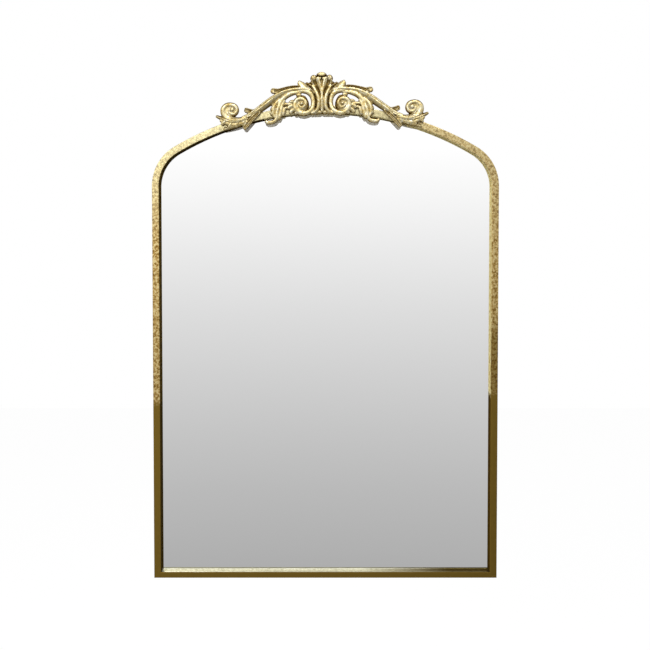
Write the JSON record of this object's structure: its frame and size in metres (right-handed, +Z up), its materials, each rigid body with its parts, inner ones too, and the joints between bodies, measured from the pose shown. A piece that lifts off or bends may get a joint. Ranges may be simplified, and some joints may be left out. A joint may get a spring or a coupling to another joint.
{
  "type": "arched wall mirror",
  "caption": "Arched wall mirror in a slim gold-leaf tube frame with a carved acanthus scroll crest, a board-backed glass held by lugs, and swinging D-rings that hang it on wall hooks.",
  "frame": {"origin": "on the wall plane, midway between the two points where the D-rings hang", "axes": "+Z up, +Y towards the wall, +X to the right seen from the front"},
  "size_m": [0.61, 0.0435, 0.8938],
  "materials": {
    "gilt_steel": "antique gold leaf over primed steel, satin, rubbed darker low down",
    "gilt_resin": "antique gold leaf over cast resin, dark glaze in the hollows",
    "silvered_glass": "silvered float glass",
    "foam_tape": "white double-sided foam tape",
    "fibreboard": "raw medium-density fibreboard",
    "zinc_steel": "zinc-plated steel"
  },
  "bodies": {
    "mirror": {"frame_arch_tube": "gilt_steel", "frame_bottom_tube": "gilt_steel", "crest_casting": "gilt_resin", "mirror_glass": "silvered_glass", "foam_tape_1": "foam_tape", "foam_tape_2": "foam_tape", "foam_tape_3": "foam_tape", "foam_tape_4": "foam_tape", "backing_board": "fibreboard", "board_lug_1": "gilt_steel", "board_lug_2": "gilt_steel", "board_lug_3": "gilt_steel", "board_lug_4": "gilt_steel", "board_lug_5": "gilt_steel", "board_lug_6": "gilt_steel", "board_lug_7": "gilt_steel", "board_lug_8": "gilt_steel", "board_lug_9": "gilt_steel", "board_lug_10": "gilt_steel", "hanger_strap_left": "zinc_steel", "hanger_strap_right": "zinc_steel"},
    "left_ring": {"d_ring_left": "zinc_steel"},
    "right_ring": {"d_ring_right": "zinc_steel"}
  },
  "joints": [
    {"name": "left_ring_swing", "type": "hinge", "parent": "mirror", "child": "left_ring", "pos_m": [-0.24, -0.0039, -0.0155], "axis": [-1, 0, 0], "range_deg": [0, 170]},
    {"name": "right_ring_swing", "type": "hinge", "parent": "mirror", "child": "right_ring", "pos_m": [0.24, -0.0039, -0.0155], "axis": [-1, 0, 0], "range_deg": [0, 170]}
  ]
}
